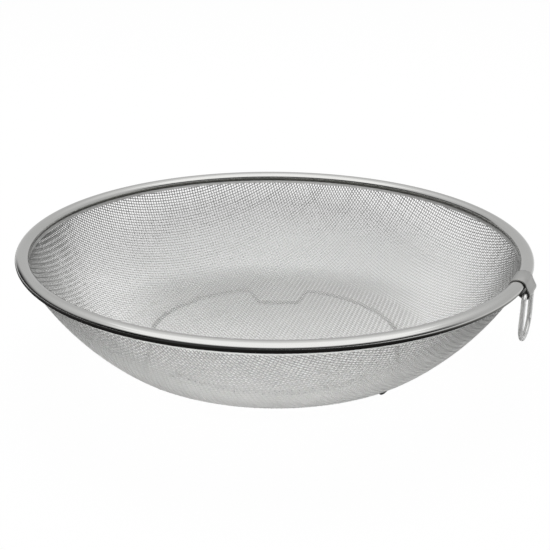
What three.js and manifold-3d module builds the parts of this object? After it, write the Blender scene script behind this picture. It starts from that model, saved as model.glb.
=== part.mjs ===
// Wire cloth colander: a round bowl of wire cloth held in a rolled rim, standing on a bent wire with
// three feet, with a hanging loop in a strap on the rim.
// Millimetres, +Z up. The bowl's axis is Z, the table is z = 0, and the strap is on +X.
import * as THREE from 'three';
import { mergeVertices } from 'three/addons/utils/BufferGeometryUtils.js';
import Module from 'manifold-3d';

// Rim: a steel strip rolled into a bead round the cloth's edge and a stiffening wire
const RIM_RADIUS = 117.4;        // bowl axis to the middle of the bead
const BEAD_RADIUS = 2.5;         // outside of the rolled strip
const STRIP_THICKNESS = 0.4;
const BUTT_GAP = 0.6;            // joint of the strip's two ends, covered by the strap
const RIM_WIRE_RADIUS = 1;
const RIM_WIRE_SHIFT = 0.85;     // from the middle of the bead, away from the cloth

// Bowl: flat floor, rounded knuckle, wall that steepens up to the rim
const FLOOR_RADIUS = 73.1;
const FLOOR_HEIGHT = 11.8;       // table to the cloth
const KNUCKLE_RADIUS = 15;
const KNUCKLE_SLOPE = 38.8;      // degrees, where the knuckle meets the wall
const WALL_SLOPE = 62;           // degrees, where the wall meets the rim
const HEM_REACH = 5;             // straight end of the wall, up to the middle of the bead

// Wire cloth, drawn at a coarse pitch with flat strands
const CLOTH_THICKNESS = 0.8;
const CLOTH_PITCH = 13.8;
const STRAND_WIDTH = 1.3;
const CLOTH_TURN = 45;           // degrees from the strap to the strands
const HEM_THICKNESS = 0.9;       // pressed edge of the cloth under the rim
const HEM_DEPTH = 0.9;           // how far the pressed edge runs down the wall
const FOLD_THICKNESS = 1.8;      // edge folded back on itself inside the bead
const FOLD_START = 1.6;          // from the middle of the bead
const FOLD_END = 0.5;

// Foot wire: one ring under the floor, bent down to the table three times
const FOOT_COUNT = 3;
const FOOT_TURN = 113;           // degrees from the strap to the first foot
const FOOT_WIRE_RADIUS = 1;
const RING_RADIUS = 60.8;        // bowl axis to the ring
const FOOT_RADIUS = 64.3;        // bowl axis to the straight bottom of a foot
const FOOT_HALF_WIDTH = 9.5;     // half of the straight bottom
const SHOULDER_TURN = 16;        // degrees from the middle of a foot to the ring

// Strap: bent round the bead and the loop's straight bar
const STRAP_WIDTH = 13;
const STRAP_THICKNESS = 0.55;
const STRAP_GAP = 0.45;          // between bead and strap
const STRAP_START = 204;         // degrees round the bead where the strap begins, inside the bowl
const EYE_OUT = 2.8;             // from the middle of the bead to the loop's bar
const EYE_DOWN = 3.7;
const EYE_RADIUS = 1.6;          // inside of the strap round the bar
const TAIL_LENGTH = 2.4;         // end of the strap, running back under the bead

// Hanging loop: wire bent to a straight bar, two legs and a round bow
const LOOP_WIRE_RADIUS = 1.1;
const LOOP_HALF_WIDTH = 8.1;     // to the middle of a leg at the bar
const LOOP_BOW_RADIUS = 8.8;
const LOOP_DROP = 22;            // bar to the bottom of the bow
const LOOP_CORNER = 2.2;

// Running gap between pieces that touch on the real object
const SEAT_GAP = 0.3;

// Facets
const ROUND_STEPS = 64;          // round the bowl's axis
const WIRE_SIDES = 8;

const rad = THREE.MathUtils.degToRad;
const wasm = await Module();
wasm.setup();

// Geometry helpers

function toManifold(geometry) {
  const clean = geometry.clone();
  clean.deleteAttribute('normal');
  clean.deleteAttribute('uv');
  const merged = mergeVertices(clean, 1e-4);
  const corners = [];
  const index = merged.index.array;
  for (let i = 0; i < index.length; i += 3) {
    const [a, b, c] = [index[i], index[i + 1], index[i + 2]];
    if (a !== b && b !== c && c !== a) corners.push(a, b, c);
  }
  return new wasm.Manifold(new wasm.Mesh({
    numProp: 3,
    vertProperties: new Float32Array(merged.attributes.position.array),
    triVerts: new Uint32Array(corners),
  }));
}

function toGeometry(solid) {
  const mesh = solid.getMesh();
  const geometry = new THREE.BufferGeometry();
  geometry.setAttribute('position', new THREE.BufferAttribute(new Float32Array(mesh.vertProperties), 3));
  geometry.setIndex(new THREE.BufferAttribute(new Uint32Array(mesh.triVerts), 1));
  geometry.computeVertexNormals();
  return geometry;
}

// Turns a closed outline of [radius, height] points round the bowl's axis
function revolve(outline) {
  const points = outline.map(([r, z]) => new THREE.Vector2(r, z));
  if (THREE.ShapeUtils.area(points) < 0) points.reverse();
  points.push(points[0].clone());
  const geometry = new THREE.LatheGeometry(points, ROUND_STEPS);
  geometry.rotateX(Math.PI / 2);
  return geometry;
}

// Round wire along a closed row of points; a flat side of the wire faces away from "up"
function wireLoop(points, radius, up) {
  const count = points.length;
  const vertices = [];
  const faces = [];
  const reach = radius / Math.cos(Math.PI / WIRE_SIDES);
  for (let i = 0; i < count; i += 1) {
    const before = points[(i + count - 1) % count];
    const after = points[(i + 1) % count];
    const into = points[i].clone().sub(before).normalize();
    const outOf = after.clone().sub(points[i]).normalize();
    const along = into.add(outOf).normalize();
    const side = new THREE.Vector3().crossVectors(along, up).normalize();
    const top = new THREE.Vector3().crossVectors(side, along);
    for (let k = 0; k < WIRE_SIDES; k += 1) {
      const angle = ((k + 0.5) / WIRE_SIDES) * 2 * Math.PI;
      const corner = points[i].clone();
      corner.addScaledVector(side, reach * Math.cos(angle));
      corner.addScaledVector(top, reach * Math.sin(angle));
      vertices.push(corner.x, corner.y, corner.z);
    }
  }
  for (let i = 0; i < count; i += 1) {
    const here = i * WIRE_SIDES;
    const next = ((i + 1) % count) * WIRE_SIDES;
    for (let k = 0; k < WIRE_SIDES; k += 1) {
      const m = (k + 1) % WIRE_SIDES;
      faces.push(here + k, next + m, here + m, here + k, next + k, next + m);
    }
  }
  const geometry = new THREE.BufferGeometry();
  geometry.setAttribute('position', new THREE.Float32BufferAttribute(vertices, 3));
  geometry.setIndex(faces);
  geometry.computeVertexNormals();
  return geometry;
}

// Middle surface of the cloth

const knuckleSlope = rad(KNUCKLE_SLOPE);
const wallSlope = rad(WALL_SLOPE);
const knuckleEnd = FLOOR_RADIUS + KNUCKLE_RADIUS * knuckleSlope;
const knuckleRadius = FLOOR_RADIUS + KNUCKLE_RADIUS * Math.sin(knuckleSlope);
const wallTop = RIM_RADIUS - HEM_REACH * Math.cos(wallSlope);
const wallRadius = (wallTop - knuckleRadius) / (Math.sin(wallSlope) - Math.sin(knuckleSlope));
const wallEnd = knuckleEnd + wallRadius * (wallSlope - knuckleSlope);
const knuckleRise = KNUCKLE_RADIUS * (1 - Math.cos(knuckleSlope));
const wallRise = wallRadius * (Math.cos(knuckleSlope) - Math.cos(wallSlope));
const hemHeight = FLOOR_HEIGHT + knuckleRise + wallRise;
const rimHeight = hemHeight + HEM_REACH * Math.sin(wallSlope);

// Radius, height and slope at a length along the cloth from its centre
function clothAt(length) {
  if (length <= FLOOR_RADIUS) return { r: length, z: FLOOR_HEIGHT, slope: 0 };
  if (length <= knuckleEnd) {
    const slope = (length - FLOOR_RADIUS) / KNUCKLE_RADIUS;
    const r = FLOOR_RADIUS + KNUCKLE_RADIUS * Math.sin(slope);
    return { r, z: FLOOR_HEIGHT + KNUCKLE_RADIUS * (1 - Math.cos(slope)), slope };
  }
  if (length <= wallEnd) {
    const slope = knuckleSlope + (length - knuckleEnd) / wallRadius;
    const r = knuckleRadius + wallRadius * (Math.sin(slope) - Math.sin(knuckleSlope));
    const z = FLOOR_HEIGHT + knuckleRise + wallRadius * (Math.cos(knuckleSlope) - Math.cos(slope));
    return { r, z, slope };
  }
  const extra = length - wallEnd;
  const r = wallTop + extra * Math.cos(wallSlope);
  const z = hemHeight + extra * Math.sin(wallSlope);
  return { r, z, slope: wallSlope };
}

// The same point, moved off the cloth; positive is into the bowl
function besideCloth(length, away) {
  const { r, z, slope } = clothAt(length);
  return [r - away * Math.sin(slope), z + away * Math.cos(slope)];
}

// Wire cloth bowl

// Open lattice of strands, wider than the bowl, laid along the middle surface
function clothLattice(reach) {
  const lines = Math.ceil(reach / CLOTH_PITCH) + 1;
  const width = 2 * lines;
  const turn = rad(CLOTH_TURN);
  const vertices = [];
  const faces = [];
  const place = (u, v, away) => {
    const angle = Math.atan2(v, u) + turn;
    const [r, z] = besideCloth(Math.hypot(u, v), away);
    vertices.push(r * Math.cos(angle), r * Math.sin(angle), z);
  };
  for (let i = 0; i < width; i += 1) {
    for (let j = 0; j < width; j += 1) {
      const u = (i + 0.5 - lines) * CLOTH_PITCH;
      const v = (j + 0.5 - lines) * CLOTH_PITCH;
      for (const away of [CLOTH_THICKNESS / 2, -CLOTH_THICKNESS / 2]) {
        for (const [du, dv] of [[-1, -1], [1, -1], [1, 1], [-1, 1]]) {
          place(u + (du * STRAND_WIDTH) / 2, v + (dv * STRAND_WIDTH) / 2, away);
        }
      }
    }
  }
  // Corner of a crossing: 0 to 3 round it on the inside of the bowl, 4 to 7 on the outside
  const at = (i, j, corner) => (i * width + j) * 8 + corner;
  const quad = (a, b, c, d) => faces.push(a, b, c, a, c, d);
  const both = (a, b, c, d) => {
    quad(at(...a), at(...b), at(...c), at(...d));
    const under = [d, c, b, a].map(([i, j, corner]) => at(i, j, corner + 4));
    quad(...under);
  };
  const wall = (i, j, first, m, n, second) => {
    quad(at(i, j, first), at(i, j, first + 4), at(m, n, second + 4), at(m, n, second));
  };
  for (let i = 0; i < width; i += 1) {
    for (let j = 0; j < width; j += 1) {
      both([i, j, 0], [i, j, 1], [i, j, 2], [i, j, 3]);
      if (i + 1 < width) {
        both([i, j, 1], [i + 1, j, 0], [i + 1, j, 3], [i, j, 2]);
        wall(i, j, 1, i + 1, j, 0);
        wall(i + 1, j, 3, i, j, 2);
      }
      if (j + 1 < width) {
        both([i, j, 3], [i, j, 2], [i, j + 1, 1], [i, j + 1, 0]);
        wall(i, j, 2, i, j + 1, 1);
        wall(i, j + 1, 0, i, j, 3);
      }
      if (i === 0) wall(i, j, 3, i, j, 0);
      if (i === width - 1) wall(i, j, 1, i, j, 2);
      if (j === 0) wall(i, j, 0, i, j, 1);
      if (j === width - 1) wall(i, j, 2, i, j, 3);
    }
  }
  const geometry = new THREE.BufferGeometry();
  geometry.setAttribute('position', new THREE.Float32BufferAttribute(vertices, 3));
  geometry.setIndex(faces);
  return geometry;
}

// Solid that holds the strands up to a length along the cloth
function clothTrim(reach) {
  const steps = 16;
  const inside = [];
  const outside = [];
  for (let i = 0; i <= steps; i += 1) {
    const length = FLOOR_RADIUS + ((reach - FLOOR_RADIUS) * i) / steps;
    inside.push(besideCloth(length, 2));
    outside.push(besideCloth(length, -2));
  }
  inside.unshift([0, FLOOR_HEIGHT + 2]);
  outside.unshift([0, FLOOR_HEIGHT - 2]);
  return revolve([...outside, ...inside.reverse()]);
}

// Pressed edge of the cloth, with the fold that the bead grips
function clothHem() {
  const start = wallEnd - HEM_DEPTH;
  const middle = wallEnd + HEM_REACH;
  const stations = [
    [start, HEM_THICKNESS],
    [wallEnd, HEM_THICKNESS],
    [middle - FOLD_START, HEM_THICKNESS],
    [middle - FOLD_START, FOLD_THICKNESS],
    [middle - FOLD_END, FOLD_THICKNESS],
  ];
  const outside = stations.map(([length, thickness]) => besideCloth(length, -thickness / 2));
  const inside = stations.map(([length, thickness]) => besideCloth(length, thickness / 2));
  return revolve([...outside, ...inside.reverse()]);
}

function meshBowl() {
  const reach = wallEnd - HEM_DEPTH / 2;
  const strands = toManifold(clothLattice(reach));
  const trimmed = strands.intersect(toManifold(clothTrim(reach)));
  return toGeometry(trimmed.add(toManifold(clothHem())));
}

// Rolled rim, drawn with the middle of the bead at z = 0

function rimBand() {
  const slotHalf = HEM_THICKNESS / 2 + SEAT_GAP;
  const outer = BEAD_RADIUS;
  const inner = BEAD_RADIUS - STRIP_THICKNESS;
  const cut = Math.asin(slotHalf / inner);
  const from = Math.PI + wallSlope + cut;
  const sweep = 2 * Math.PI - 2 * cut;
  const arc = (radius, steps) => {
    const points = [];
    for (let i = 0; i <= steps; i += 1) {
      const angle = from + (sweep * i) / steps;
      points.push([RIM_RADIUS + radius * Math.cos(angle), radius * Math.sin(angle)]);
    }
    return points;
  };
  const ring = toManifold(revolve([...arc(outer, 12), ...arc(inner, 6).reverse()]));
  const joint = new THREE.BoxGeometry(4 * BEAD_RADIUS, BUTT_GAP, 4 * BEAD_RADIUS);
  joint.translate(RIM_RADIUS, 0, 0);
  return toGeometry(ring.subtract(toManifold(joint)));
}

function rimWire() {
  const r = RIM_RADIUS + RIM_WIRE_SHIFT * Math.cos(wallSlope);
  const geometry = new THREE.TorusGeometry(r, RIM_WIRE_RADIUS, 6, ROUND_STEPS);
  geometry.translate(0, 0, RIM_WIRE_SHIFT * Math.sin(wallSlope));
  return geometry;
}

// Foot wire

function footWire() {
  const footTurn = Math.atan2(FOOT_HALF_WIDTH, FOOT_RADIUS);
  const shoulderTurn = rad(SHOULDER_TURN);
  const halfTurn = Math.PI / FOOT_COUNT;
  const footReach = Math.hypot(FOOT_RADIUS, FOOT_HALF_WIDTH);
  const ringHeight = FLOOR_HEIGHT - CLOTH_THICKNESS / 2 - SEAT_GAP - FOOT_WIRE_RADIUS;
  const legSteps = 6;
  const sideSteps = 4;
  // Half of one foot's share of the loop, from the foot's end to half way to the next foot
  const half = [];
  for (let i = 0; i <= legSteps; i += 1) {
    const part = i / legSteps;
    const turn = footTurn + (shoulderTurn - footTurn) * part;
    const blend = part * part * (3 - 2 * part);
    const r = footReach + (RING_RADIUS - footReach) * blend;
    half.push([turn, r, FOOT_WIRE_RADIUS + (ringHeight - FOOT_WIRE_RADIUS) * blend]);
  }
  for (let i = 1; i <= sideSteps; i += 1) {
    const turn = shoulderTurn + ((halfTurn - shoulderTurn) * i) / sideSteps;
    half.push([turn, RING_RADIUS, ringHeight]);
  }
  const points = [];
  for (let k = 0; k < FOOT_COUNT; k += 1) {
    const middle = rad(FOOT_TURN) + 2 * k * halfTurn;
    const place = (turn, r, z) => {
      points.push(new THREE.Vector3(r * Math.cos(middle + turn), r * Math.sin(middle + turn), z));
    };
    for (const [turn, r, z] of half.slice(0, -1).reverse()) place(-turn, r, z);
    for (const [turn, r, z] of half) place(turn, r, z);
  }
  return wireLoop(points, FOOT_WIRE_RADIUS, new THREE.Vector3(0, 0, 1));
}

// Strap, drawn with the middle of the bead at its origin

function strap() {
  const beadInside = BEAD_RADIUS + STRAP_GAP;
  const distance = Math.hypot(EYE_OUT, EYE_DOWN);
  const toEye = Math.atan2(-EYE_DOWN, EYE_OUT);
  const spread = Math.acos((beadInside - EYE_RADIUS) / distance);
  const leave = toEye + spread;
  const back = toEye - spread;
  const beadSteps = 14;
  const eyeSteps = 9;
  const outline = (away) => {
    const points = [];
    for (let i = 0; i <= beadSteps; i += 1) {
      const angle = rad(STRAP_START) + ((leave - rad(STRAP_START)) * i) / beadSteps;
      const radius = beadInside + away;
      points.push([radius * Math.cos(angle), radius * Math.sin(angle)]);
    }
    for (let i = 0; i <= eyeSteps; i += 1) {
      const angle = leave + ((back - leave) * i) / eyeSteps;
      const radius = EYE_RADIUS + away;
      points.push([EYE_OUT + radius * Math.cos(angle), radius * Math.sin(angle) - EYE_DOWN]);
    }
    const [x, z] = points[points.length - 1];
    points.push([x + TAIL_LENGTH * Math.sin(back), z - TAIL_LENGTH * Math.cos(back)]);
    return points;
  };
  const edge = [...outline(STRAP_THICKNESS), ...outline(0).reverse()];
  const shape = new THREE.Shape(edge.map(([x, z]) => new THREE.Vector2(x, z)));
  const geometry = new THREE.ExtrudeGeometry(shape, { depth: STRAP_WIDTH, bevelEnabled: false });
  geometry.rotateX(Math.PI / 2);
  geometry.translate(0, STRAP_WIDTH / 2, 0);
  return geometry;
}

// Hanging loop, drawn with the middle of its bar at its origin

function hangingLoop() {
  const points = [];
  const place = (y, z) => points.push(new THREE.Vector3(0, y, z));
  const cornerSteps = 5;
  const bowSteps = 18;
  const bowHeight = LOOP_BOW_RADIUS - LOOP_DROP;
  // Corner at the bar's +Y end, the bow, then the corner at its other end
  for (let i = 0; i <= cornerSteps; i += 1) {
    const angle = Math.PI / 2 - ((Math.PI / 2) * i) / cornerSteps;
    const y = LOOP_HALF_WIDTH - LOOP_CORNER + LOOP_CORNER * Math.cos(angle);
    place(y, LOOP_CORNER * (Math.sin(angle) - 1));
  }
  for (let i = 0; i <= bowSteps; i += 1) {
    const angle = -(Math.PI * i) / bowSteps;
    place(LOOP_BOW_RADIUS * Math.cos(angle), bowHeight + LOOP_BOW_RADIUS * Math.sin(angle));
  }
  for (let i = 0; i <= cornerSteps; i += 1) {
    const angle = Math.PI - ((Math.PI / 2) * i) / cornerSteps;
    const y = LOOP_CORNER - LOOP_HALF_WIDTH + LOOP_CORNER * Math.cos(angle);
    place(y, LOOP_CORNER * (Math.sin(angle) - 1));
  }
  return wireLoop(points, LOOP_WIRE_RADIUS, new THREE.Vector3(1, 0, 0));
}

// Assembly: the rim rides on the bowl, the strap on the rim, the loop in the strap's eye

function steel(color, roughness) {
  return new THREE.MeshStandardMaterial({ color, metalness: 1, roughness });
}

function piece(name, geometry, material) {
  const mesh = new THREE.Mesh(geometry, material);
  mesh.name = name;
  return mesh;
}

const bowl = piece('mesh_bowl', meshBowl(), steel(0xbfc0bc, 0.38));
const feet = piece('foot_wire', footWire(), steel(0xb4b5b2, 0.25));
const bead = piece('rim_band', rimBand(), steel(0xc9cac7, 0.12));
const core = piece('rim_wire', rimWire(), steel(0xa9aaa8, 0.35));
const band = piece('strap', strap(), steel(0x9c9d9b, 0.45));
const loop = piece('hanging_loop', hangingLoop(), steel(0xc4c5c2, 0.18));
loop.position.set(EYE_OUT, 0, -EYE_DOWN);

const hanger = new THREE.Group();
hanger.name = 'hanger';
hanger.position.x = RIM_RADIUS;
hanger.add(band, loop);

const rim = new THREE.Group();
rim.name = 'rim';
rim.position.z = rimHeight;
rim.add(bead, core, hanger);

const colander = new THREE.Group();
colander.name = 'colander';
colander.add(bowl, feet, rim);

export default colander;
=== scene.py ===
# %% [markdown]
# # Wire mesh colander
# A shallow bowl of woven steel wire, held in a rolled rim. A bent wire underneath gives it three
# feet, and a strap on the rim carries a loop to hang it by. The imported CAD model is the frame: it
# gives every size and place, and this lesson puts finer pieces over it.

# %% Load the frame
import math

import bpy
import numpy as np
from mathutils import Matrix, Vector


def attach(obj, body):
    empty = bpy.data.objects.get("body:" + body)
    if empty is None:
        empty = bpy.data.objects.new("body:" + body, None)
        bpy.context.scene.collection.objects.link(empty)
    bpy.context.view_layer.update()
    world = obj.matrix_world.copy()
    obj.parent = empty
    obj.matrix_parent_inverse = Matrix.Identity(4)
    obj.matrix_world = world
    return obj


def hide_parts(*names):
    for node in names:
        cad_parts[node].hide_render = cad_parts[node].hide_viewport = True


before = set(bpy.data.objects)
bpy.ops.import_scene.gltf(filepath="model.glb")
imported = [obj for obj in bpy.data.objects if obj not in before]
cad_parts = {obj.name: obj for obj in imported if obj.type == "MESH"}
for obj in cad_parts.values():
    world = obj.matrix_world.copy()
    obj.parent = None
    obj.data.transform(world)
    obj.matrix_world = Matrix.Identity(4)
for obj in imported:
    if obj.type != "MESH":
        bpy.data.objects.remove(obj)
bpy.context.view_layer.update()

MM = 0.001
print("nodes:", sorted(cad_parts))

# %% [markdown]
# ## Camera
# The photograph looks down on the bowl from a little above, with the strap at the right. The camera
# stands only two bowl widths away, so the near rim looks larger than the far one. The camera's
# matrix is made of its three directions: right, up and back.

# %% Camera
PICTURE_PIXELS = 550
FOCAL_PIXELS = 1009.3
SENSOR_WIDTH = 36.0
VIEW_TURN = math.radians(25)
VIEW_HEIGHT = math.radians(21.08)
VIEW_ROLL = math.radians(0.406)
VIEW_DISTANCE = 485 * MM
TARGET_RIGHT = 0.25 * MM
TARGET_HEIGHT = 41.9 * MM

view_right = Vector((math.cos(VIEW_TURN), math.sin(VIEW_TURN), 0))
view_front = Vector((math.sin(VIEW_TURN), -math.cos(VIEW_TURN), 0))
view_back = view_front * math.cos(VIEW_HEIGHT) + Vector((0, 0, math.sin(VIEW_HEIGHT)))
view_up = view_back.cross(view_right)
rolled_right = view_right * math.cos(VIEW_ROLL) + view_up * math.sin(VIEW_ROLL)
rolled_up = view_up * math.cos(VIEW_ROLL) - view_right * math.sin(VIEW_ROLL)
target = view_right * TARGET_RIGHT + Vector((0, 0, TARGET_HEIGHT))

lens = bpy.data.cameras.new("camera")
lens.sensor_width = SENSOR_WIDTH
lens.lens = FOCAL_PIXELS / PICTURE_PIXELS * SENSOR_WIDTH
camera = bpy.data.objects.new("camera", lens)
bpy.context.scene.collection.objects.link(camera)
turn = Matrix((rolled_right, rolled_up, view_back)).transposed().to_4x4()
camera.matrix_world = Matrix.Translation(target + view_back * VIEW_DISTANCE) @ turn
bpy.context.scene.camera = camera
print("lens", round(lens.lens, 1), "mm")

# %% [markdown]
# ## Shader maths
# A finish is a small network of nodes. Written out one node at a time it is hard to read, so a
# value here is an object that knows its socket: adding two values adds a Math node. Every other
# kind of node comes from one method, which takes the settings first and then the sockets.

# %% Shader values and node trees
class Value:
    def __init__(self, tree, socket):
        self.tree, self.socket = tree, socket

    def maths(self, operation, *others):
        return self.tree.add("ShaderNodeMath", {"operation": operation}, [self, *others])

    def __add__(self, other):
        return self.maths("ADD", other)

    def __mul__(self, other):
        return self.maths("MULTIPLY", other)

    def __sub__(self, other):
        return self.maths("SUBTRACT", other)

    def __rsub__(self, other):
        return self.tree.add("ShaderNodeMath", {"operation": "SUBTRACT"}, [other, self])

    def __truediv__(self, other):
        return self.maths("DIVIDE", other)

    __radd__ = __add__
    __rmul__ = __mul__


class NodeTree:
    def __init__(self, owner):
        owner.use_nodes = True
        self.tree = owner.node_tree
        self.tree.nodes.clear()

    def add(self, kind, settings=None, sockets=None, out=0):
        node = self.tree.nodes.new(kind)
        for name, setting in (settings or {}).items():
            setattr(node, name, setting)
        pairs = enumerate(sockets) if isinstance(sockets, list) else (sockets or {}).items()
        for name, value in pairs:
            if isinstance(value, Value):
                self.tree.links.new(value.socket, node.inputs[name])
            else:
                node.inputs[name].default_value = value
        return Value(self, node.outputs[out]) if node.outputs else node

    def axes(self):
        place = self.add("ShaderNodeTexCoord", out="Object")
        return [self.add("ShaderNodeSeparateXYZ", None, [place], out=axis) for axis in range(3)]

    def vector(self, x, y, z):
        return self.add("ShaderNodeCombineXYZ", None, [x, y, z])

    def noise(self, where, detail=2.0, w=None):
        sockets = {"Vector": where, "Scale": 1.0, "Detail": detail}
        settings = {"noise_dimensions": "3D" if w is None else "4D"}
        if w is not None:
            sockets["W"] = w
        return self.add("ShaderNodeTexNoise", settings, sockets)

    def between(self, low, high, share):
        """A colour between two others. Inputs 0, 6 and 7 are the share and the colours."""
        settings = {"data_type": "RGBA", "clamp_factor": False}
        return self.add("ShaderNodeMix", settings, {0: share, 6: (*low, 1), 7: (*high, 1)}, out=2)

    def bump(self, height, strength, distance):
        sockets = {"Height": height, "Strength": strength, "Distance": distance}
        return self.add("ShaderNodeBump", None, sockets)

    def rise(self, value, start, end, low, high):
        """Goes smoothly from low to high while the value goes from start to end."""
        sockets = [value, start, end, low, high]
        return self.add("ShaderNodeMapRange", {"interpolation_type": "SMOOTHSTEP"}, sockets)

    def spots(self, per_metre, detail):
        x, y, z = self.axes()
        return self.noise(self.vector(x * per_metre, y * per_metre, z * per_metre), detail)

    def turned_lines(self, per_turn, per_metre, detail):
        """Lines that run round the bowl's axis."""
        x, y, z = self.axes()
        radius = (x * x + y * y).maths("SQRT")
        where = self.vector(x / radius * per_turn, y / radius * per_turn, radius * per_metre)
        return self.noise(where, detail, w=z * per_metre)

    def shaded(self, low, high, share, shade):
        """A colour between two others, times a shade."""
        offset = low[0] / (high[0] - low[0])
        return self.between(low, high, share * shade + (shade - 1.0) * offset)


def steel(name):
    material = bpy.data.materials.new(name)
    return material, NodeTree(material)


def coat_steel(tree, colour, roughness, normal, metallic=1.0):
    sockets = {"Base Color": colour, "Metallic": metallic, "Roughness": roughness, "Normal": normal}
    surface = tree.add("ShaderNodeBsdfPrincipled", None, sockets)
    tree.add("ShaderNodeOutputMaterial", None, {"Surface": surface})


print("shader helpers ready")

# %% [markdown]
# ## Floor and sky
# The ground is white. Lighting a floor until it turns white would burn out the bowl, so the floor
# and the sky glow white only to rays that come straight from the camera, from a mirror or through
# glass. Behind the bowl the paper does not glow and is painted grey, a painted shadow; under the
# bowl it glows a little less and is painted a little grey. So it keeps the bowl's real shadow and adds a
# painted one.

# %% Sizes and greys of the floor
FLOOR_SIZE = 8.0
FLOOR_DROP = 0.2 * MM
FLOOR_GLOW = 0.98
PAPER_WHITE = 0.9
# Grey the paper is painted behind the bowl: a painted shadow.
PAINTED_SHADOW_GREY = 0.6
SKY_GREY = 0.2
SHADOW_BACK = 0.165
SHADOW_LENGTH = 0.177
SHADOW_WIDTH = 0.155
# Under the bowl the paper glows less and is painted a little grey: a painted shadow.
FOOT_SHADE = 0.85
FOOT_SHADE_BACK = 0.035
FOOT_SHADE_REACH = 0.085
SHADE_FADE = (0.5, 1.0)
WHITE = (1, 1, 1, 1)
print("shadow reaches", SHADOW_BACK + SHADOW_LENGTH, "m behind the bowl's axis")


# %% Tools for floor and room
def seen_straight(tree):
    camera_ray, mirror_ray, glass_ray = [
        tree.add("ShaderNodeLightPath", out=f"Is {kind} Ray")
        for kind in ("Camera", "Glossy", "Transmission")]
    return camera_ray.maths("MAXIMUM", mirror_ray).maths("MAXIMUM", glass_ray)


def from_camera(tree):
    """How far a point lies towards the camera, to its right and up, from the bowl's axis."""
    x, y, z = tree.axes()
    return x * view_front.x + y * view_front.y, x * view_right.x + y * view_right.y, z


def ellipse(forward, sideways, middle, length, width):
    deep, wide = (forward - middle[0]) / length, (sideways - middle[1]) / width
    return (deep * deep + wide * wide).maths("SQRT")


print("floor tools ready")

# %% Floor
bpy.ops.object.select_all(action="DESELECT")
bpy.ops.mesh.primitive_plane_add(size=FLOOR_SIZE, location=(0, 0, -FLOOR_DROP))
floor = bpy.context.object
floor.name = "floor"
paper = bpy.data.materials.new("white_paper")
tree = NodeTree(paper)
forward, sideways, _ = from_camera(tree)
behind = ellipse(forward, sideways, (-SHADOW_BACK, 0), SHADOW_LENGTH, SHADOW_WIDTH)
under = ellipse(forward, sideways, (-FOOT_SHADE_BACK, 0), FOOT_SHADE_REACH, FOOT_SHADE_REACH)
lit = tree.rise(behind, *SHADE_FADE, 0.0, 1.0).maths(
    "MINIMUM", tree.rise(under, *SHADE_FADE, FOOT_SHADE, 1.0))
share = seen_straight(tree) * lit * FLOOR_GLOW
# Painted shadow: behind the bowl, and a little under it, the paper itself is painted grey.
grey = lit * (PAPER_WHITE - PAINTED_SHADOW_GREY) + PAINTED_SHADOW_GREY
matt = tree.add("ShaderNodeBsdfDiffuse", None, {"Color": tree.vector(grey, grey, grey)})
glow = tree.add("ShaderNodeEmission", None, {"Color": WHITE, "Strength": 1.0})
mixed = tree.add("ShaderNodeMixShader", None, [share, matt, glow])
tree.add("ShaderNodeOutputMaterial", None, {"Surface": mixed})
floor.data.materials.append(paper)
print("floor", FLOOR_SIZE, "m wide")

# %% Sky
sky = bpy.data.worlds.new("sky")
bpy.context.scene.world = sky
tree = NodeTree(sky)
white = seen_straight(tree) * (1 - SKY_GREY) + SKY_GREY
light = tree.add("ShaderNodeBackground", None, {"Color": WHITE, "Strength": white})
tree.add("ShaderNodeOutputWorld", None, {"Surface": light})
print("sky is white to the camera")

# %% [markdown]
# ## Room
# Polished steel has hardly any colour of its own: it shows the room. A white room would make the rim
# one flat white. So a round room that only reflections see stands about the bowl. It is bright
# overhead and dark low down in front and at the left, because the photograph's rim is bright on top
# and dark along its lower half.

# %% Shape of the room
ROOM_RADIUS = 1.1
ROOM_HEIGHT = 1.45
ROOM_SIDES = 96

bpy.ops.object.select_all(action="DESELECT")
bpy.ops.mesh.primitive_cylinder_add(
    vertices=ROOM_SIDES, radius=ROOM_RADIUS, depth=ROOM_HEIGHT, end_fill_type="NGON",
    location=(0, 0, ROOM_HEIGHT / 2 - FLOOR_DROP / 2))
room = bpy.context.object
room.name = "room"
bpy.ops.object.transform_apply()
room.visible_camera = False
room.visible_diffuse = False
room.visible_shadow = False
room.visible_transmission = False
print("room", len(room.data.polygons), "faces")

# %% Greys of the room
TOP_GREY = 1.27
TOP_BACK_GREY = 0.85
BACK_GREY = 0.6
TABLE_GREY = 0.75
FRONT_DARK = 0.055
LEFT_DARK = 0.05
SHADE_FORWARD = 0.42
SHADE_LEFT = 0.3
SHADE_LENGTH = 0.7
SHADE_WIDTH = 0.6
SHADE_EDGE = (0.8, 1.05)
BACK_RISE = (0.5, ROOM_HEIGHT)
FRONT_RISE = (0.35, 0.9)
FRONT_EDGE = (0.0, 0.5)
LEFT_EDGE = (-0.85, -0.65)
LEFT_RISE = (0.2, 0.6)
TOP_EDGE = (-0.9, -0.1)
SEAM = 1 * MM

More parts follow.
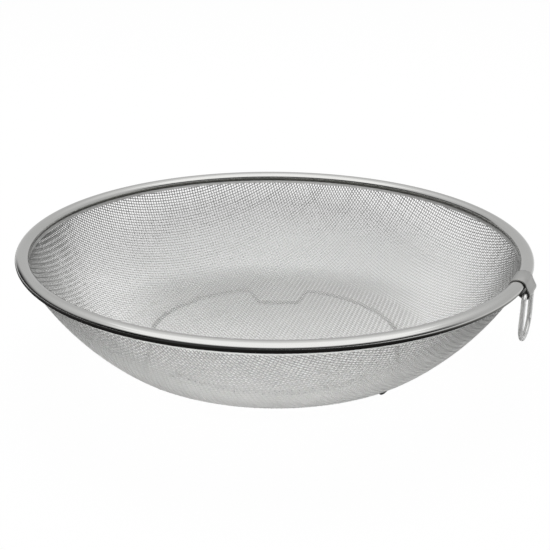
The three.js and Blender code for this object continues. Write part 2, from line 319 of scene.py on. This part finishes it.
card = bpy.data.materials.new("room_card")
tree = NodeTree(card)
forward, sideways, z = from_camera(tree)
behind = tree.rise(z, *BACK_RISE, BACK_GREY, TOP_BACK_GREY)
ahead = tree.rise(z, *FRONT_RISE, FRONT_DARK, TOP_GREY)
wall_grey = behind + (ahead - behind) * tree.rise(forward, *FRONT_EDGE, 0.0, 1.0)
left_shade = tree.rise(sideways, *LEFT_EDGE, LEFT_DARK, 1.0)
wall_grey = wall_grey * (left_shade + (1 - left_shade) * tree.rise(z, *LEFT_RISE, 0.0, 1.0))
outside = ellipse(forward, sideways, (SHADE_FORWARD, -SHADE_LEFT), SHADE_LENGTH, SHADE_WIDTH)
table_grey = tree.rise(outside, *SHADE_EDGE, FRONT_DARK, TABLE_GREY)
top_grey = tree.rise(forward, *TOP_EDGE, TOP_BACK_GREY, TOP_GREY)
off_table = z.maths("GREATER_THAN", SEAM)
off_wall = z.maths("GREATER_THAN", ROOM_HEIGHT - SEAM)
grey = table_grey + (wall_grey - table_grey) * off_table
grey = grey + (top_grey - grey) * off_wall
glow = tree.add("ShaderNodeEmission", None, {"Color": WHITE, "Strength": grey})
tree.add("ShaderNodeOutputMaterial", None, {"Surface": glow})
room.data.materials.append(card)
print("room is", TOP_GREY, "overhead and", FRONT_DARK, "low in front")

# %% [markdown]
# ## Lamps
# Two soft lamps light the paper and the mesh. One is overhead, a little behind the bowl, so the
# floor of the bowl is lighter than its far wall. The other lies on the table in front, out of the
# picture, as a photographer's fill card does: it lights the outside from below. Mirrors see the
# room instead of them.

# %% Lamps
LAMP_SIZE = 0.9
LAMP_HEIGHT = 1.5
LAMP_BACK = 0.4
LAMP_WATTS = 25.0
CARD_WIDTH = 0.24
CARD_LENGTH = 0.4
CARD_FORWARD = 0.36
CARD_LEFT = 0.05
CARD_LIFT = 1 * MM
CARD_WATTS = 1.35


def soft_lamp(name, width, length, watts, place, turn):
    data = bpy.data.lights.new(name, "AREA")
    data.shape = "RECTANGLE"
    data.size, data.size_y, data.energy = width, length, watts
    lamp = bpy.data.objects.new(name, data)
    lamp.location = place
    lamp.rotation_euler = turn
    lamp.visible_glossy = False
    bpy.context.scene.collection.objects.link(lamp)


above = view_front * -LAMP_BACK + Vector((0, 0, LAMP_HEIGHT))
in_front = view_front * CARD_FORWARD - view_right * CARD_LEFT + Vector((0, 0, CARD_LIFT))
soft_lamp("overhead", LAMP_SIZE, LAMP_SIZE, LAMP_WATTS, above, (0, 0, VIEW_TURN))
soft_lamp("fill_card", CARD_WIDTH, CARD_LENGTH, CARD_WATTS, in_front, (math.pi, 0, VIEW_TURN))
bpy.context.scene.view_settings.view_transform = "Standard"
print("lamps", LAMP_WATTS, "W and", CARD_WATTS, "W")

# %% [markdown]
# ## Shape of the bowl
# Cut through its middle, the bowl has a flat floor, a rounded knuckle, and a wall that gets steeper
# up to the rim. These are the sizes of the CAD model, apart from the bead's section: the photograph
# shows an oval, with about the same outer edge as the CAD model's round bead.

# %% Sizes of the bowl
RIM_RADIUS = 117.4 * MM
BEAD_EDGE = 2.47 * MM
BEAD_HALF_WIDTH = 3.2 * MM
BEAD_HALF_HEIGHT = 2.5 * MM
BEAD_DROP = 0.25 * MM
FLOOR_RADIUS = 73.1 * MM
FLOOR_HEIGHT = 11.8 * MM
KNUCKLE_RADIUS = 15 * MM
KNUCKLE_SLOPE = math.radians(38.8)
WALL_SLOPE = math.radians(62)
HEM_REACH = 5 * MM

knuckle_end = FLOOR_RADIUS + KNUCKLE_RADIUS * KNUCKLE_SLOPE
knuckle_out = FLOOR_RADIUS + KNUCKLE_RADIUS * math.sin(KNUCKLE_SLOPE)
knuckle_top = FLOOR_HEIGHT + KNUCKLE_RADIUS * (1 - math.cos(KNUCKLE_SLOPE))
wall_out = RIM_RADIUS - HEM_REACH * math.cos(WALL_SLOPE)
wall_radius = (wall_out - knuckle_out) / (math.sin(WALL_SLOPE) - math.sin(KNUCKLE_SLOPE))
wall_end = knuckle_end + wall_radius * (WALL_SLOPE - KNUCKLE_SLOPE)
wall_top = knuckle_top + wall_radius * (math.cos(KNUCKLE_SLOPE) - math.cos(WALL_SLOPE))
rim_height = wall_top + HEM_REACH * math.sin(WALL_SLOPE)
mesh_reach = wall_end + HEM_REACH
bead_middle = Vector((RIM_RADIUS + BEAD_EDGE - BEAD_HALF_WIDTH, 0, rim_height - BEAD_DROP))
print("rim height", round(rim_height / MM, 2), "mm")


# %% [markdown]
# A point of the mesh can be found in two ways. Its distance from the middle, measured along the mesh,
# is how a flat disc turns into a bowl. Its distance from the axis is what a new crossing needs, to be
# put on the bowl at the right height.

# %% Points of the bowl
def slope_along(length):
    """Radius, height and slope at a length along the mesh from its middle."""
    if length <= FLOOR_RADIUS:
        return length, FLOOR_HEIGHT, 0.0
    if length <= knuckle_end:
        slope = (length - FLOOR_RADIUS) / KNUCKLE_RADIUS
        lift = KNUCKLE_RADIUS * (1 - math.cos(slope))
        return FLOOR_RADIUS + KNUCKLE_RADIUS * math.sin(slope), FLOOR_HEIGHT + lift, slope
    if length <= wall_end:
        slope = KNUCKLE_SLOPE + (length - knuckle_end) / wall_radius
        out = wall_radius * (math.sin(slope) - math.sin(KNUCKLE_SLOPE))
        lift = wall_radius * (math.cos(KNUCKLE_SLOPE) - math.cos(slope))
        return knuckle_out + out, knuckle_top + lift, slope
    extra = length - wall_end
    return wall_out + extra * math.cos(WALL_SLOPE), wall_top + extra * math.sin(WALL_SLOPE), WALL_SLOPE


def height_at(radius):
    """Height of the mesh and its slope's tangent at a radius from the axis."""
    if radius <= FLOOR_RADIUS:
        return FLOOR_HEIGHT, 0.0
    if radius <= knuckle_out:
        slope = math.asin((radius - FLOOR_RADIUS) / KNUCKLE_RADIUS)
        return FLOOR_HEIGHT + KNUCKLE_RADIUS * (1 - math.cos(slope)), math.tan(slope)
    if radius <= wall_out:
        slope = math.asin(math.sin(KNUCKLE_SLOPE) + (radius - knuckle_out) / wall_radius)
        return knuckle_top + wall_radius * (math.cos(KNUCKLE_SLOPE) - math.cos(slope)), math.tan(slope)
    return wall_top + (radius - wall_out) * math.tan(WALL_SLOPE), math.tan(WALL_SLOPE)


print("floor", height_at(0)[0], "hem", height_at(wall_out)[0])

# %% [markdown]
# ## Finishes
# All pieces are stainless steel, and what tells them apart is how they were made. The drawn wires of
# the mesh are satin, with a slow drift from the annealing. A painted shade darkens them up the wall
# towards the rim, and the warp is painted a little brighter than the weft, a painted sheen. One
# function makes both finishes, because only their greys differ.

# %% Finish of the woven wires
SCRATCH_DEPTH = 0.05 * MM
PAINTED_SHADE_DEPTH = 44 * MM
PAINTED_SHADE_CLEAR = 2 * MM
PAINTED_WALL_SHADE = 0.48
WARM = 0.985


def mesh_finish(name, low, high):
    material, tree = steel(name)
    height = tree.axes()[2]
    drift = tree.spots(per_metre=28, detail=3)
    grain = tree.spots(per_metre=1500, detail=1)
    # Painted shade: the wires are painted darker up the wall, towards the rim.
    shade = tree.rise(height, rim_height - PAINTED_SHADE_DEPTH, rim_height - PAINTED_SHADE_CLEAR, 1.0, PAINTED_WALL_SHADE)
    colour = tree.shaded(
        (low, low, low * WARM), (high, high, high * WARM), drift * 0.7 + grain * 0.3, shade)
    scratches = tree.bump(grain, strength=0.15, distance=SCRATCH_DEPTH)
    coat_steel(tree, colour, roughness=grain * 0.16 + 0.42, normal=scratches, metallic=0.2)
    print(material.name)
    return material


# The warp is painted brighter than the weft: a painted sheen for the highlights one direction of wire
# catches more than the other.
warp_steel = mesh_finish("warp_steel", 0.80, 0.93)
weft_steel = mesh_finish("weft_steel", 0.70, 0.83)

# %% [markdown]
# The rim was rolled and then polished as it turned, so fine lines run round it. Its underside is
# painted dark all round, a painted shade by height, without a second material.

# %% Finish of the rolled rim
RIM_DARK = (0.60, 0.60, 0.586)
RIM_LIGHT = (0.70, 0.70, 0.686)
POLISH_DEPTH = 0.04 * MM
UNDERSIDE_PAINTED_SHADE = 0.25
UNDERSIDE_TOP = rim_height - 0.5 * MM
PAINTED_SHADE_END = rim_height + 0.1 * MM

rim_steel, tree = steel("polished_rim_steel")
lines = tree.turned_lines(per_turn=9, per_metre=3200, detail=3)
drift = tree.spots(per_metre=35, detail=2)
# Painted shade: the bead is painted darker below its middle.
shade = tree.rise(tree.axes()[2], UNDERSIDE_TOP, PAINTED_SHADE_END, UNDERSIDE_PAINTED_SHADE, 1.0)
colour = tree.shaded(RIM_DARK, RIM_LIGHT, lines * 0.5 + drift * 0.5, shade)
scratches = tree.bump(lines, strength=0.06, distance=POLISH_DEPTH)
coat_steel(tree, colour, roughness=lines * 0.10 + 0.05, normal=scratches)
print(rim_steel.name)

# %% [markdown]
# The two lips of the rim were pinched onto the mesh by a tool, which left them scuffed and pale
# beside the mirror of the bead.

# %% Finish of the rim's lips
LIP_DARK = (0.58, 0.58, 0.57)
LIP_LIGHT = (0.74, 0.74, 0.73)

lip_steel, tree = steel("scuffed_lip_steel")
lines = tree.turned_lines(per_turn=14, per_metre=2400, detail=2)
colour = tree.between(LIP_DARK, LIP_LIGHT, lines)
scratches = tree.bump(lines, strength=0.1, distance=SCRATCH_DEPTH)
coat_steel(tree, colour, roughness=lines * 0.14 + 0.34, normal=scratches, metallic=0.4)
print(lip_steel.name)

# %% [markdown]
# The strap is plain rolled sheet, greyer and less shiny. The lines of the rolling mill run along the
# strip, so the noise is stretched: close together across the strap, far apart along it.

# %% Finish of the strap
STRAP_DARK = (0.45, 0.45, 0.44)
STRAP_LIGHT = (0.61, 0.61, 0.595)
MILL_ALONG = 260
MILL_ACROSS = 4200

strap_steel, tree = steel("rolled_strap_steel")
x, y, z = tree.axes()
lines = tree.noise(tree.vector(x * MILL_ALONG, y * MILL_ACROSS, z * MILL_ALONG), detail=3)
spots = tree.spots(per_metre=420, detail=4)
colour = tree.between(STRAP_DARK, STRAP_LIGHT, lines * 0.6 + spots * 0.4)
scratches = tree.bump(lines, strength=0.12, distance=SCRATCH_DEPTH)
coat_steel(tree, colour, roughness=spots * 0.16 + 0.34, normal=scratches)
print(strap_steel.name)

# %% [markdown]
# The loop is drawn wire, pale and smooth from the die. A thin wire that mirrors the whole room would
# turn nearly black in its dark parts, so it is only half metallic. The wire hidden in the rim takes
# the same finish.

# %% Finish of the drawn wires
WIRE_DARK = (0.82, 0.82, 0.81)
WIRE_LIGHT = (0.95, 0.95, 0.94)

wire_steel, tree = steel("drawn_wire_steel")
pits = tree.spots(per_metre=900, detail=3)
drift = tree.spots(per_metre=60, detail=2)
colour = tree.between(WIRE_DARK, WIRE_LIGHT, drift * 0.6 + pits * 0.4)
scratches = tree.bump(pits, strength=0.06, distance=SCRATCH_DEPTH)
coat_steel(tree, colour, roughness=pits * 0.12 + 0.08, normal=scratches, metallic=0.55)
print(wire_steel.name)

# %% [markdown]
# The foot wire shows through the mesh as a dark line, and where a foot sticks out below the bowl it is
# dark too. Its dark is painted shade, for the shade it lies in under the bowl, and it is dull with a
# fine noise, not bright like the loop.

# %% Finish of the foot wire
FOOT_DARK = (0.13, 0.13, 0.128)
FOOT_LIGHT = (0.24, 0.24, 0.235)

foot_steel, tree = steel("painted_shade_foot_steel")
scale = tree.spots(per_metre=700, detail=3)
# Painted shade: the wire is painted dark for the shade it lies in under the bowl.
colour = tree.between(FOOT_DARK, FOOT_LIGHT, scale)
roughened = tree.bump(scale, strength=0.1, distance=SCRATCH_DEPTH)
coat_steel(tree, colour, roughness=scale * 0.2 + 0.3, normal=roughened)
print(foot_steel.name)

# %% [markdown]
# ## Woven wires
# The real bowl starts as a flat disc of woven wire. Pressed into shape, no wire gets longer: the
# square gaps lean over into diamonds, most of all half way between the two wire directions. So the
# crossings are found one after another: each new one lies on the bowl, one pitch away from the
# crossing before it on both of its wires. One quarter is worked out and the rest is its mirror
# image. Wires pass over and under each other in turn, by half a wire's thickness.

# %% Where the wires cross
WIRE_PITCH = 1.56 * MM
WIRE_RADIUS = 0.22 * MM
WEAVE_TURN = math.radians(55)
TRIM_HEIGHT = rim_height - 1.0 * MM
CROSSINGS = int(mesh_reach / WIRE_PITCH) + 3
NEWTON_STEPS = 8
CLOSE_ENOUGH = 1e-9


def on_bowl(x, y):
    return np.array((x, y, height_at(math.hypot(x, y))[0]))


def next_crossing(first, second, guess):
    """The point of the bowl that is one pitch from two others, by Newton's method."""
    x, y = guess[0], guess[1]
    for _ in range(NEWTON_STEPS):
        radius = math.hypot(x, y)
        height, steep = height_at(radius)
        lift_x, lift_y = steep * x / radius, steep * y / radius
        rows = []
        for other in (first, second):
            dx, dy, dz = x - other[0], y - other[1], height - other[2]
            rows.append((dx * dx + dy * dy + dz * dz - WIRE_PITCH ** 2,
                         2 * (dx + dz * lift_x), 2 * (dy + dz * lift_y)))
        (f, a, b), (g, c, d) = rows
        scale = a * d - b * c
        step_x, step_y = (f * d - g * b) / scale, (g * a - f * c) / scale
        x, y = x - step_x, y - step_y
        if abs(step_x) + abs(step_y) < CLOSE_ENOUGH:
            break
    return on_bowl(x, y)


print("pitch", WIRE_PITCH / MM, "mm")

# %% A quarter of the net
quarter = np.full((CROSSINGS, CROSSINGS, 3), np.nan)
for i in range(CROSSINGS):
    out, height, _ = slope_along(i * WIRE_PITCH)
    quarter[i, 0] = (out, 0, height)
    quarter[0, i] = (0, out, height)
for i in range(1, CROSSINGS):
    for j in range(1, i + 1):
        corner, first, second = quarter[i - 1, j - 1], quarter[i - 1, j], quarter[i, j - 1]
        if not min(corner[2], first[2], second[2]) < rim_height:
            continue
        point = next_crossing(first, second, first + second - corner)
        quarter[i, j] = point
        quarter[j, i] = (point[1], point[0], point[2])
print("crossings in a quarter:", int(np.isfinite(quarter[..., 0]).sum()))

# %% [markdown]
# The quarter is mirrored into a whole net, and the net is turned, because the disc went into the press
# with its wires at an angle to the strap. Only crossings below the rim are kept.

# %% The whole net, and how far each wire runs
steps = np.arange(-CROSSINGS + 1, CROSSINGS)
net = np.empty((len(steps), len(steps), 3))
for a, i in enumerate(steps):
    for b, j in enumerate(steps):
        net[a, b] = quarter[abs(i), abs(j)] * (1 if i >= 0 else -1, 1 if j >= 0 else -1, 1)
weave = np.array(((math.cos(WEAVE_TURN), -math.sin(WEAVE_TURN), 0),
                  (math.sin(WEAVE_TURN), math.cos(WEAVE_TURN), 0), (0, 0, 1)))
net = net @ weave.T
inside = np.where(np.isfinite(net[..., 2]), net[..., 2], 1.0) < TRIM_HEIGHT
print("crossings inside the rim:", int(inside.sum()))


# %% [markdown]
# The same few actions come up for every piece: start with nothing selected, pick corners or faces,
# delete some, and hand the finished piece to the frame. A mesh made of edges alone can be turned into
# a curve, and a curve can be given a round section, so every wire is made that way.

# %% Tools for selecting and rounding
def deselect():
    if bpy.context.mode != "OBJECT":
        bpy.ops.object.mode_set(mode="OBJECT")
    bpy.ops.object.select_all(action="DESELECT")


def pick_none(kind):
    """Leaves nothing selected, ready to pick corners, edges or faces."""
    bpy.ops.object.mode_set(mode="EDIT")
    bpy.context.tool_settings.mesh_select_mode = tuple(kind == k for k in ("VERT", "EDGE", "FACE"))
    bpy.ops.mesh.select_all(action="DESELECT")
    bpy.ops.object.mode_set(mode="OBJECT")


def delete_where(piece, kind, chosen):
    """Deletes the corners, edges or faces that a list of truths picks."""
    pick_none(kind)
    items = {"VERT": piece.data.vertices, "EDGE": piece.data.edges, "FACE": piece.data.polygons}[kind]
    items.foreach_set("select", np.asarray(chosen, bool))
    bpy.ops.object.mode_set(mode="EDIT")
    bpy.ops.mesh.delete(type=kind)
    bpy.ops.object.mode_set(mode="OBJECT")


def round_wire(radius, roundness):
    """Turns the active piece, made of edges, into round wire."""
    bpy.ops.object.convert(target="CURVE")
    curve = bpy.context.object.data
    curve.dimensions = "3D"
    curve.bevel_depth = radius
    curve.bevel_resolution = roundness
    curve.use_fill_caps = True
    bpy.ops.object.convert(target="MESH")
    bpy.ops.object.shade_smooth()
    return bpy.context.object


def face_up(piece):
    """Turns a sheet inside out if its highest face looks down."""
    highest = max(piece.data.polygons, key=lambda face: face.center.z)
    if highest.normal.z < 0:
        piece.data.flip_normals()


def settle(piece, name, material, body, node):
    piece.name = piece.data.name = name
    piece.data.materials.clear()
    piece.data.materials.append(material)
    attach(piece, body)
    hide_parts(node)
    piece.data.calc_loop_triangles()
    print(name, len(piece.data.loop_triangles), "triangles")


print("tools ready")


# %% [markdown]
# Warp and weft are woven one after the other. A grid is added with one corner for each crossing, its
# corners are moved to the net, the edges across the wires are deleted, and the rest becomes round
# wire. The last corner of each wire is pulled back to end inside the rolled rim.

# %% Which way is inward, and where wires end
def inward(points):
    """Directions into the bowl, square to the mesh."""
    facing = np.empty_like(points)
    for place, point in zip(facing.reshape(-1, 3), points.reshape(-1, 3)):
        radius = max(math.hypot(point[0], point[1]), CLOSE_ENOUGH)
        slope = math.atan(height_at(radius)[1])
        place[:] = (-math.sin(slope) * point[0] / radius, -math.sin(slope) * point[1] / radius,
                    math.cos(slope))
    return facing


def trimmed(points, inner):
    """Corners kept along each row, with the ones just outside pulled back to the trim height."""
    keep, moved = inner.copy(), points.copy()
    for row in range(len(points)):
        held = np.flatnonzero(inner[row])
        if len(held) == 0:
            continue
        for last, outer in ((held[-1], held[-1] + 1), (held[0], held[0] - 1)):
            start, end = points[row, last], points[row, outer]
            part = (TRIM_HEIGHT - start[2]) / (end[2] - start[2])
            moved[row, outer] = start + (end - start) * part
            keep[row, outer] = True
    return keep, moved


print("wires end", round((rim_height - TRIM_HEIGHT) / MM, 2), "mm below the middle of the rim")


# %% Weave one direction of wires
def woven_wires(across):
    """The wires of one direction: the weft runs across the warp."""
    points = net.transpose(1, 0, 2) if across else net
    inner = inside.T if across else inside
    keep, points = trimmed(points, inner)
    over = np.where((np.add.outer(steps, steps) % 2 == 0) != across, 1.0, -1.0)
    points = np.where(keep[..., None], points, 0.0)
    points = points + inward(points) * (over * WIRE_RADIUS)[..., None]
    count = len(steps)
    deselect()
    bpy.ops.mesh.primitive_grid_add(x_subdivisions=count - 1, y_subdivisions=count - 1, size=1)
    piece = bpy.context.object
    place = np.empty(count * count * 3, np.float32)
    piece.data.vertices.foreach_get("co", place)
    column, line = np.rint((place.reshape(-1, 3)[:, :2] + 0.5) * (count - 1)).astype(int).T
    piece.data.vertices.foreach_set("co", points[line, column].astype(np.float32).ravel())
    ends = np.empty(len(piece.data.edges) * 2, np.int32)
    piece.data.edges.foreach_get("vertices", ends)
    first, second = ends.reshape(-1, 2).T
    delete_where(piece, "EDGE", line[first] != line[second])
    delete_where(piece, "VERT", ~keep[line, column])
    return round_wire(WIRE_RADIUS, roundness=0)


# %% Weave warp and weft
for name, across, finish in (("warp_wires", False, warp_steel), ("weft_wires", True, weft_steel)):
    settle(woven_wires(across), name, finish, "bowl", "mesh_bowl")

# %% [markdown]
# ## Rolled rim
# A steel strip was rolled over the mesh's edge into an oval bead, open only where the mesh goes in, and
# pinched onto the mesh with two short lips. A flattened circle gives its section: the corners at the
# slot are deleted, and the two beside it are drawn down the wall as lips. The section is spun round the
# bowl. The spin stops just short of a full turn, because the strip's two ends meet at a butt joint under
# the strap. Solidify gives the strip its thickness.

# %% Section of the rim
STRIP_THICKNESS = 0.4 * MM
BUTT_GAP = 0.6 * MM
SLOT_HALF = 1.0 * MM
SLOT_DEPTH = 2.9 * MM
LIP_LENGTH = 1.3 * MM
BEAD_SIDES = 48
RIM_STEPS = 288
WELD = 0.01 * MM

gap_turn = BUTT_GAP / RIM_RADIUS
deselect()
bpy.ops.mesh.primitive_circle_add(
    vertices=BEAD_SIDES, radius=BEAD_HALF_WIDTH, location=bead_middle,
    rotation=(math.pi / 2, 0, 0))
rim = bpy.context.object
rim.scale.y = BEAD_HALF_HEIGHT / BEAD_HALF_WIDTH
bpy.ops.object.transform_apply()
slot_way = Vector((-math.cos(WALL_SLOPE), 0, -math.sin(WALL_SLOPE)))
slot = Vector((RIM_RADIUS, 0, rim_height)) + slot_way * SLOT_DEPTH
delete_where(rim, "VERT", [(v.co - slot).length < SLOT_HALF for v in rim.data.vertices])
pick_none("VERT")
for side in (-1, 1):
    corners = [v for v in rim.data.vertices if (v.co.x - slot.x) * side > 0]
    min(corners, key=lambda v: (v.co - slot).length).select = True
bpy.ops.object.mode_set(mode="EDIT")
bpy.ops.mesh.extrude_vertices_move(TRANSFORM_OT_translate={"value": slot_way * LIP_LENGTH})
print("section of the rim ready")

# %% Spin the section round the bowl
bpy.ops.mesh.select_all(action="SELECT")
bpy.ops.transform.rotate(value=-gap_turn / 2, orient_axis="Z", center_override=(0, 0, 0))
bpy.ops.mesh.spin(steps=RIM_STEPS, angle=2 * math.pi - gap_turn, center=(0, 0, 0), axis=(0, 0, 1))
bpy.ops.mesh.select_all(action="SELECT")
bpy.ops.mesh.remove_doubles(threshold=WELD)
bpy.ops.mesh.normals_make_consistent(inside=False)
bpy.ops.object.mode_set(mode="OBJECT")
face_up(rim)
wall = rim.modifiers.new("strip", "SOLIDIFY")
wall.thickness = STRIP_THICKNESS
wall.offset = -1
print("rim", len(rim.data.polygons), "faces")

# %% [markdown]
# The lips have their own finish, so their faces, which lie lower than the bead, become a piece of
# their own. Both pieces still stand for the one rim of the CAD model.

# %% Part the pinched lips from the polished bead
SMOOTH_ANGLE = math.radians(40)

pick_none("FACE")
for face in rim.data.polygons:
    face.select = face.center.z < bead_middle.z - BEAD_HALF_HEIGHT
bpy.ops.object.mode_set(mode="EDIT")
bpy.ops.mesh.separate(type="SELECTED")
bpy.ops.object.mode_set(mode="OBJECT")
lips = next(piece for piece in bpy.context.selected_objects if piece != rim)
for piece, name, material in ((rim, "rolled_rim", rim_steel), (lips, "rim_lips", lip_steel)):
    deselect()
    piece.select_set(True)
    bpy.context.view_layer.objects.active = piece
    bpy.ops.object.modifier_apply(modifier="strip")
    bpy.ops.object.shade_smooth_by_angle(angle=SMOOTH_ANGLE)
    settle(piece, name, material, "bowl", "rim_band")

# %% [markdown]
# ## Foot wire
# One closed wire runs in a ring right under the bowl's floor, and is bent down to the table in three
# places. A circle is added with many corners, and each corner is moved to its place on the way
# round: on the straight bottom of a foot, up a leg, or in the ring under the mesh.

# %% Path of the foot wire
FOOT_COUNT = 3
FOOT_TURN = math.radians(113)
FOOT_WIRE_RADIUS = 1.0 * MM
FOOT_LIFT = 0.02 * MM
RING_RADIUS = 60.8 * MM
FOOT_RADIUS = 64.3 * MM
FOOT_HALF_WIDTH = 9.5 * MM
SHOULDER_TURN = math.radians(16)
MESH_HALF = 0.46 * MM
FOOT_CORNERS = 360


def ease(part):
    part = min(max(part, 0.0), 1.0)
    return part * part * (3 - 2 * part)


def foot_path(turn):
    """Radius and height of the foot wire at a turn from the middle of a foot."""
    foot_turn = math.atan2(FOOT_HALF_WIDTH, FOOT_RADIUS)
    ring_height = FLOOR_HEIGHT - MESH_HALF - FOOT_WIRE_RADIUS
    blend = ease((turn - foot_turn) / (SHOULDER_TURN - foot_turn))
    foot = FOOT_RADIUS / math.cos(min(turn, foot_turn))
    out = foot + (RING_RADIUS - foot) * blend
    low = FOOT_WIRE_RADIUS + FOOT_LIFT
    return out, low + (ring_height - low) * blend


print("ring height", round(foot_path(SHOULDER_TURN)[1] / MM, 2), "mm")

# %% Bend the foot wire
deselect()
bpy.ops.mesh.primitive_circle_add(vertices=FOOT_CORNERS, radius=FOOT_RADIUS)
foot_wire = bpy.context.object
share = 2 * math.pi / FOOT_COUNT
for corner in foot_wire.data.vertices:
    angle = math.atan2(corner.co.y, corner.co.x)
    turn = (angle - FOOT_TURN + share / 2) % share - share / 2
    out, height = foot_path(abs(turn))
    corner.co = (out * math.cos(angle), out * math.sin(angle), height)
settle(round_wire(FOOT_WIRE_RADIUS, roundness=4), "bent_foot_wire", foot_steel, "bowl",
       "foot_wire")

# %% [markdown]
# ## Strap
# A short strip of sheet steel hugs the bead down to its outer edge, runs straight to the eye, goes
# round the loop's bar and ends under the bead. It starts as a plane one step long, and its end edge is
# extruded along that outline, step by step, as the real strip is bent. Solidify and Bevel give it
# thickness and broken edges.

# %% Outline of the strap
STRAP_WIDTH = 13 * MM
STRAP_THICKNESS = 0.45 * MM
STRAP_GAP = 0.2 * MM
STRAP_START = math.radians(204)
STRAP_LEAVE = math.radians(6)
STRAP_BACK = math.radians(-126.4)
EYE_OUT = 2.8 * MM
EYE_DOWN = 3.7 * MM
EYE_RADIUS = 1.69 * MM
TAIL_LENGTH = 2.4 * MM
EDGE_BREAK = 0.12 * MM
SHARP_ANGLE = math.radians(50)
BEAD_BENDS = 36
EYE_BENDS = 24


def strap_outline():
    """Inside of the strap, from the middle of the rim: along x and z."""
    wide, high = BEAD_HALF_WIDTH + STRAP_GAP, BEAD_HALF_HEIGHT + STRAP_GAP
    middle_x, middle_z = bead_middle.x - RIM_RADIUS, bead_middle.z - rim_height

    def over_bead(angle):
        return middle_x + wide * math.cos(angle), middle_z + high * math.sin(angle)

    x, z = over_bead(STRAP_LEAVE)
    away = math.hypot(x - EYE_OUT, z + EYE_DOWN)
    leave = math.atan2(z + EYE_DOWN, x - EYE_OUT) - math.acos(EYE_RADIUS / away)
    points = [over_bead(angle) for angle in np.linspace(STRAP_START, STRAP_LEAVE, BEAD_BENDS)]
    for angle in np.linspace(leave, STRAP_BACK, EYE_BENDS):
        points.append((EYE_OUT + EYE_RADIUS * math.cos(angle),
                       EYE_RADIUS * math.sin(angle) - EYE_DOWN))
    x, z = points[-1]
    points.append((x + TAIL_LENGTH * math.sin(STRAP_BACK), z - TAIL_LENGTH * math.cos(STRAP_BACK)))
    return [Vector((RIM_RADIUS + x, 0, rim_height + z)) for x, z in points]


outline = strap_outline()
print("strap outline", len(outline), "points")

# %% Bend the strap
deselect()
bpy.ops.mesh.primitive_plane_add(size=STRAP_WIDTH)
strap = bpy.context.object
for corner in strap.data.vertices:
    corner.co = outline[0 if corner.co.x < 0 else 1] + Vector((0, corner.co.y, 0))
pick_none("VERT")
for corner in strap.data.vertices:
    corner.select = (corner.co.xz - outline[1].xz).length < WELD
bpy.ops.object.mode_set(mode="EDIT")
for here, there in zip(outline[1:], outline[2:]):
    bpy.ops.mesh.extrude_region_move(TRANSFORM_OT_translate={"value": there - here})
bpy.ops.mesh.select_all(action="SELECT")
bpy.ops.mesh.normals_make_consistent(inside=False)
bpy.ops.object.mode_set(mode="OBJECT")
face_up(strap)
print("strap", len(strap.data.polygons), "faces before it gets its thickness")

# %% Thickness and edges of the strap
wall = strap.modifiers.new("sheet", "SOLIDIFY")
wall.thickness = STRAP_THICKNESS
wall.offset = 1
edges = strap.modifiers.new("broken_edges", "BEVEL")
edges.width = EDGE_BREAK
edges.segments = 2
edges.limit_method = "ANGLE"
edges.angle_limit = SHARP_ANGLE
for change in (wall.name, edges.name):
    bpy.ops.object.modifier_apply(modifier=change)
bpy.ops.object.shade_smooth_by_angle(angle=SMOOTH_ANGLE)
settle(strap, "bent_strap", strap_steel, "bowl", "strap")

# %% [markdown]
# ## Hanging loop
# The loop is one wire: a straight bar in the strap's eye, two legs that lean out a little, and a
# round bow. A circle's corners are moved to that path, and the circle is made round wire.

# %% Outline of the loop
LOOP_WIRE_RADIUS = 1.1 * MM
LOOP_HALF_WIDTH = 8.1 * MM
LOOP_BOW_RADIUS = 8.8 * MM
LOOP_DROP = 22 * MM
LOOP_CORNER = 2.2 * MM
BOW_CORNERS = 40
BEND_CORNERS = 10


def loop_outline():
    """Middle of the loop's wire, from the middle of its bar: along y and z."""
    bow_height = LOOP_BOW_RADIUS - LOOP_DROP
    side = LOOP_HALF_WIDTH - LOOP_CORNER
    points = []
    for angle in np.linspace(math.pi / 2, 0, BEND_CORNERS):
        points.append((side + LOOP_CORNER * math.cos(angle), LOOP_CORNER * (math.sin(angle) - 1)))
    for angle in np.linspace(0, -math.pi, BOW_CORNERS):
        points.append((LOOP_BOW_RADIUS * math.cos(angle),
                       bow_height + LOOP_BOW_RADIUS * math.sin(angle)))
    for angle in np.linspace(math.pi, math.pi / 2, BEND_CORNERS):
        points.append((LOOP_CORNER * math.cos(angle) - side, LOOP_CORNER * (math.sin(angle) - 1)))
    return points


points = loop_outline()
print("loop outline", len(points), "points")

# %% Bend the loop
deselect()
bpy.ops.mesh.primitive_circle_add(vertices=len(points), radius=LOOP_BOW_RADIUS)
loop = bpy.context.object
for corner, (y, z) in zip(loop.data.vertices, points):
    corner.co = (RIM_RADIUS + EYE_OUT, y, rim_height - EYE_DOWN + z)
settle(round_wire(LOOP_WIRE_RADIUS, roundness=4), "hanging_wire_loop", wire_steel, "loop",
       "hanging_loop")

# %% [markdown]
# ## Wire inside the rim
# The stiffening wire lies hidden in the bead, so the CAD solid is kept and only takes a finish.

# %% Finish the hidden wire
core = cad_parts["rim_wire"]
core.data.materials.clear()
core.data.materials.append(wire_steel)
print(core.name, "keeps its CAD shape")
